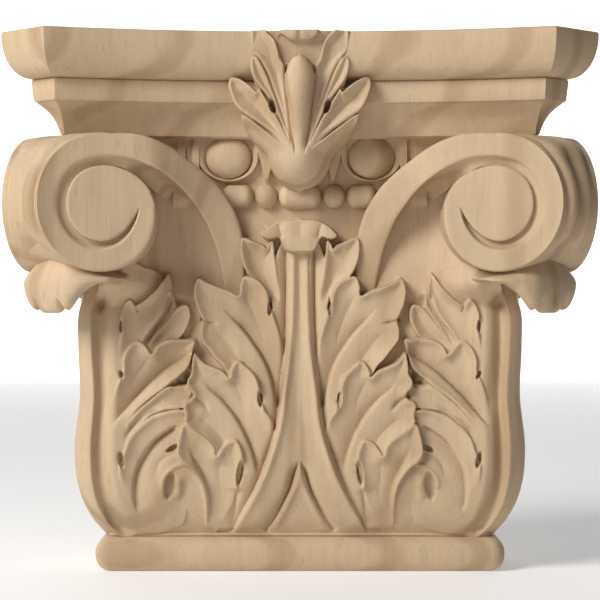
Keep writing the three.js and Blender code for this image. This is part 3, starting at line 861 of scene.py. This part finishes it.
def scroll_band():
    """The stalk and the band that it becomes: over the top, round, and into the eye."""
    turns = np.arange(356, 79, -2.5)
    angle = np.radians(turns)
    outer_u, outer_z = on_scroll(angle, row(RIM_TURN, RIM_RADIUS, turns))
    inner_u, inner_z = on_scroll(angle, row(BAND_TURN, BAND_RADIUS, turns))
    outer = np.stack([outer_u, bowed(outer_u, SCROLL_INSET), outer_z], axis=-1)
    inner = np.stack([inner_u, bowed(inner_u, SCROLL_INSET), inner_z], axis=-1)
    outer = np.vstack([outer, curve(STALK_OUTER, 7)])
    inner = np.vstack([inner, curve(STALK_INNER, 7)])
    ends = len(turns)
    floor = np.full(len(outer), GROOVE_DEPTH)
    after = np.linspace(0, 1, len(outer) - ends)
    floor[ends:] = (GROOVE_DEPTH + 25 * smooth((after - 0.06) / 0.3)
                    * smooth((0.85 - after) / 0.35))
    floor[:ends] *= smooth((356 - turns) / 20) * 0.999 + 0.001
    reach = np.full(len(outer), 4.6)
    reach[:ends] = np.maximum(row(BAND_TURN, BAND_RADIUS, turns)
                              - row(SPIRAL_TURN, EYE_RADIUS, turns), 0.5) + 0.6
    reach[ends:] = 5.2 + 5.0 * smooth(after / 0.24) - 8.0 * smooth((after - 0.3) / 0.3)
    rings = []
    for start, end, drop, cove in zip(outer, inner, floor, reach):
        across = end - start
        width = np.hypot(across[0], across[2])
        step = np.array([across[0], 0, across[2]]) / width
        ring = [start - [0, 50, 0], start - [0, 7, 0], start - [0, 1.7, 0]]
        ring += [start + step * 0.25 - [0, 0.7, 0], start + step * 0.8 - [0, 0.15, 0]]
        for share in (0.14, 0.3, 0.5, 0.7, 0.86):
            sag = 0.25 * math.sin(math.pi * share)
            ring.append(start + across * share - [0, sag, 0])
        ring += [end - step * 0.7 - [0, 0.12, 0], end - step * 0.1 - [0, 0.5, 0]]
        for share, part in ((0.05, 0.24), (0.14, 0.5), (0.28, 0.76), (0.5, 0.93), (1.0, 1.0)):
            ring.append(end + step * cove * share - [0, drop * part, 0])
        ring.append(end + step * cove - [0, drop + 46, 0])
        rings.append(np.array(ring))
    rings = np.array(rings)
    rings[..., 1] = np.maximum(rings[..., 1], SCROLL_BACK)
    return place(rings[..., 0], rings[..., 1], rings[..., 2])


def ringed(name, rings):
    """A closed shell over rings of points, shut at each end."""
    rings = np.array(rings)
    count, turns = rings.shape[:2]
    nothing_selected()
    bpy.ops.mesh.primitive_cylinder_add(vertices=turns, end_fill_type="NOTHING")
    piece = bpy.context.object
    piece.name = name
    middle = rings.mean(axis=1)
    points = np.vstack([rings.reshape(-1, 3), middle[:1], middle[-1:]])
    at = np.arange(count * turns).reshape(count, turns)
    after = np.roll(at, -1, axis=1)
    faces = np.stack([at[:-1], after[:-1], after[1:], at[1:]], axis=-1).reshape(-1, 4).tolist()
    tip, tail = count * turns, count * turns + 1
    faces += [(tip, b, a) for a, b in zip(at[0], after[0])]
    faces += [(tail, a, b) for a, b in zip(at[-1], after[-1])]
    mesh = piece.data
    mesh.clear_geometry()
    mesh.from_pydata(points.tolist(), [], faces)
    mesh.update()
    edit(piece)
    bpy.ops.mesh.select_all(action="SELECT")
    bpy.ops.mesh.remove_doubles(threshold=SAME_PLACE)
    bpy.ops.mesh.normals_make_consistent(inside=False)
    object_mode()
    return piece


def both_hands(name, rings):
    """A front piece for each hand and the same two on the sides."""
    made = []
    for mirror in (1, -1):
        turned = rings.copy()
        turned[..., 0] *= mirror
        made.append(ringed(name, turned))
        side = np.stack([(FRONT + REACH) * MM - rings[..., 1],
                         (FRONT + REACH) * MM - rings[..., 0], rings[..., 2]], axis=-1)
        side[..., 0] *= mirror
        made.append(ringed(name, stop_at_wall(side)))
    return made


CORNER_VALLEY_Z = [155, 160, 166, 171, 179, 191, 211, 221, 225]
CORNER_VALLEY = [108, 116, 126, 133.4, 138, 139.3, 135, 130, 121]
CORNER_STRIP = [(0, 0), (0.1, 0.5), (0.28, 1.9), (0.5, 2.3), (0.66, 1.5), (0.74, 0.6),
                (0.79, -0.1), (0.84, 0.2), (0.9, 0.5), (0.96, 0.4), (1.0, 0)]


def corner_wedge():
    """What fills the angle between two neighbouring scrolls, with a strip down the corner."""
    rings = []
    for turn in np.linspace(-86, 86, 44):
        z = SCROLL["z"] + SCROLL["tall"] * math.sin(math.radians(turn))
        edge_u = SCROLL["u"] + (SCROLL["wide"] - 0.3) * math.cos(math.radians(turn))
        edge_out = float(bowed(edge_u, 4.6))
        edge_reach = (edge_u + edge_out) / math.sqrt(2)
        edge_across = (edge_out - edge_u) / math.sqrt(2)
        valley = float(row(CORNER_VALLEY_Z, CORNER_VALLEY, z)) * math.sqrt(2)
        share = np.array([part for part, _ in CORNER_STRIP])
        bulge = np.array([rise for _, rise in CORNER_STRIP]) * 1.3
        reach = valley + (edge_reach - valley) * share + bulge
        across = edge_across * share
        reach = np.concatenate([reach[:0:-1], reach])
        across = np.concatenate([-across[:0:-1], across])
        u = (reach + across) / math.sqrt(2)
        out = (reach - across) / math.sqrt(2)
        ring = np.vstack([np.stack([u, out, np.full(len(u), z)], axis=-1)[::-1],
                          [[edge_out - 8, edge_u - 6, z], [SCROLL_BACK, SCROLL_BACK, z],
                           [edge_u - 6, edge_out - 8, z]]])
        rings.append(place(ring[:, 0], ring[:, 1], ring[:, 2]))
    rings = np.array(rings)
    made = []
    for mirror in (1, -1):
        turned = rings.copy()
        turned[..., 0] *= mirror
        made.append(ringed("corner_wedge", turned))
    return made


def scrolls():
    eyes = both_hands("scroll_eye", scroll_eye())
    bands = both_hands("scroll_band", scroll_band())
    return [join(eyes + bands + corner_wedge(), "scrolls")]


# ------------------------------------------------------------------ curled leaf corners

CURL_SECTION = [(140, 152), (152, 150), (163, 148.6), (168.6, 144), (172.4, 141.6), (175, 137.6),
                (177.4, 134.4), (180.6, 135.4), (183, 140.4), (183.6, 148), (181.6, 156.6),
                (177, 164.4), (169, 169), (157, 170), (140, 166)]
CURL_ACROSS = [0, 8, 12, 14.4, 18, 21, 24, 27, 30]
CURL_LOW = [1.0, 0.99, 0.95, 0.86, 0.62, 0.4, 0.2, 0.1, 0.04]
CURL_HIGH = [1.0, 0.9, 0.75, 0.62, 0.45, 0.33, 0.22, 0.12, 0.05]
CURL_REACH = [1.0, 1.0, 0.99, 0.97, 0.9, 0.82, 0.68, 0.45, 0.2]


def leaf_corner_rings():
    """The curl as slices across the diagonal: thick at the middle, three soft lobes."""
    section = curve(CURL_SECTION, 5, closed=True)
    tip = np.exp(-(((section[:, 0] - 179) / 6.5) ** 2 + ((section[:, 1] - 135) / 6) ** 2))
    rings = []
    for across in np.linspace(-30, 30, 121):
        far = abs(across)
        low, high, out_to = (float(row(CURL_ACROSS, part, far))
                             for part in (CURL_LOW, CURL_HIGH, CURL_REACH))
        notch = math.exp(-((far - 9.6) / 1.9) ** 2)
        crease = np.exp(-((section[:, 1] - 142) / 3.4) ** 2) * (section[:, 0] > 179)
        cleft = math.exp(-(across / 0.8) ** 2)
        reach = 163 + (section[:, 0] - 163) * out_to - tip * 1.2 * notch
        reach = reach - 1.5 * crease * cleft + 0.8 * np.cos(across / 9.6 * math.pi) * tip
        rise = section[:, 1] - 151
        height = 151 + np.where(rise < 0, rise * low, rise * high) + tip * 4.2 * notch
        u = (reach + across) / math.sqrt(2)
        out = (reach - across) / math.sqrt(2)
        rings.append(place(u, out, height))
    return np.array(rings)


def leaf_curls():
    rings = leaf_corner_rings()
    made = []
    for mirror in (1, -1):
        turned = rings.copy()
        turned[..., 0] *= mirror
        made.append(ringed("leaf_curl", turned))
    return [join(made, "leaf_curls")]


# ------------------------------------------------------------------ eggs, darts and beads

def egg_and_dart():
    """The carved band under the slab, on the front and both sides."""
    pitch = 0.42
    us = np.arange(-64, 64 + pitch, pitch)
    zs = np.arange(201, 228, pitch)
    u, z = np.meshgrid(us, zs)
    a = abs(u)
    carve = Carving(a, z)
    low = np.minimum(z - 215.2, 0)
    gap = np.hypot((a - 37.2) / 16.4, low / 13.2)
    shell = 5.6 * smooth((1.0 - gap) / 0.06) - 0.9 * smooth((0.9 - gap) / 0.1)
    well = np.hypot((a - 37.2) / 13.0, low / 12.0)
    carve.h = np.maximum(carve.h, shell) - 3.4 * smooth((1.0 - well) / 0.08)
    egg = np.clip(1 - ((a - 37.2) / 12.2) ** 2 - ((z - 215.4) / 11.6) ** 2, 0, 1)
    carve.h = np.maximum(carve.h, 8.4 * egg**0.42 * (egg > 0) + 1.2 * (egg > 0))
    for path, wide, high in (([(54.2, 227), (54.2, 208)], 5.0, 6.4),
                             ([(62.6, 227), (62.6, 204)], 7.5, 5.6)):
        gap, _, along = from_line(a, z, curve(path))
        carve.h = np.maximum(carve.h, high * smooth((0.5 * wide - gap) / 1.3 + 0.3))
    dart = smooth((4.4 * (1 - (219 - z) / 17) + 1.6 - abs(a - 17.2)) / 1.6)
    carve.h = np.maximum(carve.h, 6.4 * dart * smooth((z - 202) / 2))
    out = 94.0 + carve.h + 0.12 * uneven(u, z, 4.0, 9)
    return relief_on_faces("egg_and_dart", u, out, z, 86.0)


def relief_on_faces(name, u, out, z, behind, reach=None):
    """A relief on the front, and its turned copies at both sides, each with its own back."""
    front = place(u, out, z)
    made = [front]
    for mirror in (1, -1):
        side = np.stack([(FRONT + REACH) * MM - front[..., 1],
                         (FRONT + REACH) * MM - front[..., 0], front[..., 2]], axis=-1)
        keep = side[0, :, 1] < BACK * MM + 0.0008
        side = side[:, keep]
        side[..., 0] *= mirror
        made.append(stop_at_wall(side))
    pieces = []
    for i, points in enumerate(made):
        piece = sheet(name, points)

        def carried_back(edge, side=i):
            if side == 0:
                edge[:, 1] = (FRONT + REACH - behind) * MM
            else:
                edge[:, 0] = np.sign(edge[:, 0]) * behind * MM
            return edge

        pieces.append(close_onto(piece, carried_back))
    return [join(pieces, name)]


def bead_and_reel():
    """The string of beads: round ones in pairs between long ones."""
    pitch = 0.4
    us = np.arange(-66, 66 + pitch, pitch)
    zs = np.arange(186.6, 203.6, pitch)
    u, z = np.meshgrid(us, zs)
    a = abs(u)
    level = np.full(u.shape, 93.5)
    for centre, half in ((0.0, 11.4), (32.4, 8.4), (63.0, 8.6)):
        x = np.maximum(abs(a - centre) - (half - 5.0), 0)
        ball = 1 - (x / 5.0) ** 2 - ((z - 195) / 6.5) ** 2
        level = np.maximum(level, 93.5 + 7.8 * np.clip(ball, 0, 1) ** 0.44)
    for centre in (17.7, 47.2):
        ball = 1 - ((a - centre) / 6.0) ** 2 - ((z - 195) / 6.5) ** 2
        level = np.maximum(level, 93.5 + 7.8 * np.clip(ball, 0, 1) ** 0.44)
    return relief_on_faces("bead_string", u, level + 0.1 * uneven(u, z, 3.0, 5), z, 88.0)


# ------------------------------------------------------------------ flower

FLOWER_EDGE = [(-4, 278), (24.4, 278), (24.8, 270), (23.4, 265.6), (25, 263), (24.8, 257.4),
               (23.2, 252.6), (22, 248.6), (26, 250), (30, 252.6), (34, 253.9), (36.3, 251.6),
               (35.3, 245.8), (33.2, 240.8), (29.8, 236.6), (29.6, 234), (28.4, 229.8),
               (26, 225.2), (22, 220.8), (17.2, 216.2), (15.6, 211.4), (14.4, 208.2),
               (11.2, 203.6), (7, 200.2), (2.5, 198.6), (-4, 198.4)]
PETALS = (
    ([(24.6, 278.5), (24.8, 270), (23.4, 266), (21.1, 263.2), (17, 256), (12.5, 244), (8, 232),
      (4.2, 221), (5, 232), (6.4, 245), (7.4, 257), (9, 262), (11, 267.5), (12.8, 272.4),
      (16, 275.5), (19, 278.5)], (3, 216), (20, 277), (0.6, 3.4), 2.6),
    ([(21.1, 263.2), (24, 264.4), (25.2, 262), (24.8, 257), (23, 252.5), (19.8, 248),
      (16.2, 243.5), (12.6, 238), (9, 230), (4.4, 220.6), (8, 232), (12, 243), (15, 251),
      (17.8, 257.6)], (3, 216), (24, 260), (0.5, 3.8), 2.4),
    ([(35.5, 253.6), (36.4, 250), (35.2, 245.4), (33.2, 240.6), (29.4, 236.2), (22, 231),
      (14, 225.4), (7, 218), (6, 221.5), (9.5, 229.6), (12.4, 235), (15.6, 240.4),
      (18.4, 245), (20.4, 248), (22, 246.6), (25.5, 249.8), (30, 252.8), (33.5, 254)],
     (4, 217), (35, 251), (0.6, 4.6), 3.0),
    ([(30, 235.4), (29, 230), (26.4, 225.2), (22, 220.6), (17, 215.8), (13, 211), (8, 212),
      (6, 217), (12, 222.6), (20, 229), (26, 233.6)], (7, 212), (29, 233), (0.4, 3.4), 2.8),
)
FLOWER_Z = [198, 199.5, 202, 206, 211, 216, 222, 230, 240, 252, 264, 277]
FLOWER_OUT = [103, 112, 119, 124.6, 128, 129.4, 129.6, 128.8, 127.4, 127, 129, 132]
FLOWER_HALF = [2.4, 6.4, 10.4, 13.6, 16.2, 18.4, 23.6, 29.6, 34, 37.4, 30, 28]
FINGER_Z = [214, 221, 226, 232, 242, 250, 257, 261, 263.4, 264.8]
FINGER_HALF = [2.6, 3.5, 4.0, 4.7, 5.9, 6.8, 6.9, 5.4, 3.6, 0.4]
FINGER_OUT = [127, 130.4, 131.8, 133.2, 135.4, 136.8, 137.4, 137.2, 136.6, 135.6]


def flower():
    """The carved flower on the middle of the front: a bulb, eight petals and a finger."""
    pitch = 0.33
    us = np.arange(-38, 38 + pitch, pitch)
    zs = np.linspace(196.5, HEIGHT, 244)
    u, z = np.meshgrid(us, zs)
    a = abs(u)
    axis = row(FLOWER_Z, FLOWER_OUT, z)
    wide = row(FLOWER_Z, FLOWER_HALF, z)
    round_off = 1 - np.sqrt(np.clip(1 - (a / wide) ** 2, 0, 1))
    bowl = 1 - 0.8 * smooth((z - 212) / 26)
    ground = axis - (axis - 101) * round_off * bowl - 0.04 * a
    carve = Carving(a, z)
    for outline, root, tip, rise, sink in PETALS:
        carve.lobe(outline, root, tip, rise, scoop=sink, rim=0.3, spread=3.2, fade=0.5,
                   edge=1.0, under=0.5)
    carve.channel([(21.3, 263.6), (17, 256), (12.4, 244), (8.2, 232), (4.8, 222)], 1.4, 0.9, 0.9,
                  0.05, 0.2)
    carve.channel([(30, 236), (22, 230.8), (14, 225), (9, 219.6)], 1.1, 0.9, 1.6, 0.05, 0.3)
    carve.channel([(32, 248), (25, 241), (17, 233), (9, 223)], 1.2, 1.8, 1.8, 0.15, 0.3)
    carve.eye(14.0, 239.2, 7.4, 3.4, -16, 7.0)
    carve.h -= 7.0 * smooth((11.5 - a) / 4) * smooth((z - 260) / 6) * smooth((275.5 - z) / 2)
    out = ground + carve.h
    half = row(FINGER_Z, FINGER_HALF, z)
    cap = np.sqrt(np.clip(1 - (a / np.maximum(half, 0.3)) ** 2, 0, 1))
    on = smooth((half - a) / 0.9 + 0.5) * (z < 264.9) * smooth((z - 214) / 8)
    out = out * (1 - on) + (row(FINGER_Z, FINGER_OUT, z) - 4.6 + 4.6 * cap) * on
    gutter = np.exp(-((a - half - 0.5) / 0.9) ** 2) * smooth((262 - z) / 3)
    out = out - 1.6 * gutter * smooth((z - 217) / 6)
    lip_edge = 271.6 + 3.2 * (a / 8.6) ** 2 - 0.8 * np.exp(-((a - 5.2) / 2.2) ** 2)
    lip = smooth((z - lip_edge) / 0.7 + 0.5) * smooth((10.2 - a) / 1.6)
    bulge = np.sqrt(np.clip(1 - ((z - 276) / 6.5) ** 2, 0, 1))
    out = out * (1 - lip) + (128 + 7.4 * bulge - 0.8 * np.exp(-(a / 1.6) ** 2)) * lip
    outside = inside(a, z, curve(FLOWER_EDGE, closed=True))
    out = np.where(outside < -0.35, 92.0, out + 0.12 * uneven(u, z, 4.0, 11))
    return [close_onto(sheet("flower", place(u, out, z)), flower_back)]


def flower_back(edge):
    edge[:, 1] = (FRONT + REACH - 90) * MM
    return edge


# ------------------------------------------------------------------ stage

def stage():
    """Pale floor and wall, a soft key from the upper left, and the straight-on camera."""
    settings = bpy.context.scene.capital_stage
    nothing_selected()
    middle = HEIGHT * MM / 2
    bpy.ops.mesh.primitive_plane_add(size=6, location=(0, 0, 0))
    floor = bpy.context.object
    floor.name = "floor"
    bpy.ops.mesh.primitive_plane_add(size=6, location=(0, 2.4, 0), rotation=(math.pi / 2, 0, 0))
    wall = bpy.context.object
    wall.name = "backdrop"
    paint = bpy.data.materials.new("studio_paper")
    paint.use_nodes = True
    shader = paint.node_tree.nodes["Principled BSDF"]
    shader.inputs["Base Color"].default_value = (0.8, 0.8, 0.8, 1)
    shader.inputs["Roughness"].default_value = 0.9
    shader.inputs["Emission Color"].default_value = (1, 1, 1, 1)
    shader.inputs["Emission Strength"].default_value = settings.paper_glow
    glow = paint.copy()
    glow.node_tree.nodes["Principled BSDF"].inputs["Emission Strength"].default_value = 1.0
    for piece, paper in ((floor, paint), (wall, glow)):
        piece.data.materials.append(paper)
    lights = (
        ("key", (-1.2, -1.16, 1.20), 0.9, settings.key, (1.0, 0.98, 0.95)),
        ("fill", (1.1, -1.3, 0.35), 1.2, settings.fill, (1.0, 0.98, 0.96)),
        ("front", (0.0, -1.9, 0.45), 0.9, settings.front, (1.0, 0.98, 0.95)),
    )
    for name, spot, size, power, colour in lights:
        bpy.ops.object.light_add(type="AREA", location=spot)
        lamp = bpy.context.object
        lamp.name = name
        lamp.data.size = size
        lamp.data.energy = power
        lamp.data.color = colour
        aim(lamp, (0, 0, middle))
    world = bpy.data.worlds.new("studio")
    world.use_nodes = True
    world.node_tree.nodes["Background"].inputs[0].default_value = (1, 1, 1, 1)
    world.node_tree.nodes["Background"].inputs[1].default_value = settings.room
    bpy.context.scene.world = world
    bpy.context.scene.view_settings.view_transform = "Standard"
    distance = settings.camera_distance
    bpy.ops.object.camera_add(location=(0, FRONT * MM - distance, settings.camera_height))
    camera = bpy.context.object
    camera.name = "camera"
    aim(camera, (0, 0, settings.camera_height))
    camera.data.sensor_width = 36
    camera.data.lens = 36 * distance / settings.view_width
    camera.data.clip_start = 0.05
    bpy.context.scene.camera = camera


def aim(thing, target):
    run = Vector(target) - thing.location
    thing.rotation_euler = run.to_track_quat("-Z", "Y").to_euler()


# ------------------------------------------------------------------ the add-on

class CapitalSizes(bpy.types.PropertyGroup):
    """Sizes of the carving."""

    leaf_pitch: bpy.props.FloatProperty(
        name="Leaf pitch", description="Spacing of the carved surface's points",
        default=0.00045, min=0.0003, max=0.002, unit="LENGTH", precision=5)
    leaf_faces: bpy.props.IntProperty(
        name="Leaf faces", description="Most triangles that the carved bell keeps",
        default=195000, min=20000, max=199000)


class CapitalWood(bpy.types.PropertyGroup):
    """Colours of the wood."""

    wood: bpy.props.FloatVectorProperty(
        name="Wood", description="Main colour of the maple", subtype="COLOR", size=3,
        default=(0.555, 0.415, 0.272), min=0, max=1)
    growth_line: bpy.props.FloatVectorProperty(
        name="Growth line", description="Colour of the darker growth lines", subtype="COLOR",
        size=3, default=(0.36, 0.235, 0.13), min=0, max=1)


class CapitalStage(bpy.types.PropertyGroup):
    """Camera and lights."""

    camera_distance: bpy.props.FloatProperty(
        name="Camera distance", description="From the front of the capital to the camera",
        default=1.0, min=0.3, unit="LENGTH")
    camera_height: bpy.props.FloatProperty(
        name="Camera height", description="Height of the camera over the floor",
        default=0.1409, min=0.0, unit="LENGTH")
    view_width: bpy.props.FloatProperty(
        name="View width", description="Width seen in the plane of the front",
        default=0.297, min=0.1, unit="LENGTH")
    key: bpy.props.FloatProperty(name="Key", description="Power of the main light",
                                 default=41.0, min=0.0, unit="POWER")
    fill: bpy.props.FloatProperty(name="Fill", description="Power of the fill light",
                                  default=0.0, min=0.0, unit="POWER")
    front: bpy.props.FloatProperty(name="Front", description="Power of the front light",
                                   default=0.5, min=0.0, unit="POWER")
    room: bpy.props.FloatProperty(name="Room", description="Light of the white room",
                                  default=0.02, min=0.0)
    paper_glow: bpy.props.FloatProperty(name="Paper glow", description="Glow of the paper",
                                        default=0.25, min=0.0)


class OBJECT_OT_capital_slab(bpy.types.Operator):
    """Makes the moulded top and the foot moulding"""

    bl_idname = "object.capital_slab"
    bl_label = "Top slab and foot"

    def execute(self, context):
        hand_over(top_slab(), 28)
        hand_over(foot(), 40)
        return {"FINISHED"}


class OBJECT_OT_capital_leaves(bpy.types.Operator):
    """Carves the leaves round the bell"""

    bl_idname = "object.capital_leaves"
    bl_label = "Leaves"

    def execute(self, context):
        for piece in leaves() + leaf_curls():
            hand_over(piece, 60)
        return {"FINISHED"}


class OBJECT_OT_capital_scrolls(bpy.types.Operator):
    """Makes the corner scrolls and the stalks that carry them"""

    bl_idname = "object.capital_scrolls"
    bl_label = "Scrolls and stalks"

    def execute(self, context):
        for piece in scrolls():
            hand_over(piece, 50)
        return {"FINISHED"}


class OBJECT_OT_capital_bands(bpy.types.Operator):
    """Carves the egg-and-dart band and the beads"""

    bl_idname = "object.capital_bands"
    bl_label = "Eggs and beads"

    def execute(self, context):
        for piece in egg_and_dart() + bead_and_reel():
            hand_over(piece, 60)
        return {"FINISHED"}


class OBJECT_OT_capital_flower(bpy.types.Operator):
    """Carves the flower on the middle of the top"""

    bl_idname = "object.capital_flower"
    bl_label = "Flower"

    def execute(self, context):
        for piece in flower():
            hand_over(piece, 60)
        return {"FINISHED"}


class OBJECT_OT_capital_stage(bpy.types.Operator):
    """Sets the floor, the lights and the camera"""

    bl_idname = "object.capital_stage"
    bl_label = "Stage"

    def execute(self, context):
        stage()
        return {"FINISHED"}


OPERATORS = (OBJECT_OT_capital_stage, OBJECT_OT_capital_slab, OBJECT_OT_capital_leaves,
             OBJECT_OT_capital_scrolls, OBJECT_OT_capital_bands, OBJECT_OT_capital_flower)


class VIEW3D_PT_capital(bpy.types.Panel):
    """Lists the capital's pieces"""

    bl_label = "Capital"
    bl_idname = "VIEW3D_PT_capital"
    bl_space_type = "VIEW_3D"
    bl_region_type = "UI"
    bl_category = "Capital"

    def draw(self, context):
        for group in (context.scene.capital_sizes, context.scene.capital_wood,
                      context.scene.capital_stage):
            for name in group.__annotations__:
                self.layout.prop(group, name)
        for operator in OPERATORS:
            self.layout.operator(operator.bl_idname)


CLASSES = (CapitalSizes, CapitalWood, CapitalStage, *OPERATORS, VIEW3D_PT_capital)


def register():
    for item in CLASSES:
        bpy.utils.register_class(item)
    bpy.types.Scene.capital_sizes = bpy.props.PointerProperty(type=CapitalSizes)
    bpy.types.Scene.capital_wood = bpy.props.PointerProperty(type=CapitalWood)
    bpy.types.Scene.capital_stage = bpy.props.PointerProperty(type=CapitalStage)


def unregister():
    del bpy.types.Scene.capital_stage
    del bpy.types.Scene.capital_wood
    del bpy.types.Scene.capital_sizes
    for item in reversed(CLASSES):
        bpy.utils.unregister_class(item)


def main():
    register()
    for operator in OPERATORS:
        getattr(bpy.ops.object, operator.bl_idname.split(".")[1])()


if __name__ == "__main__":
    main()
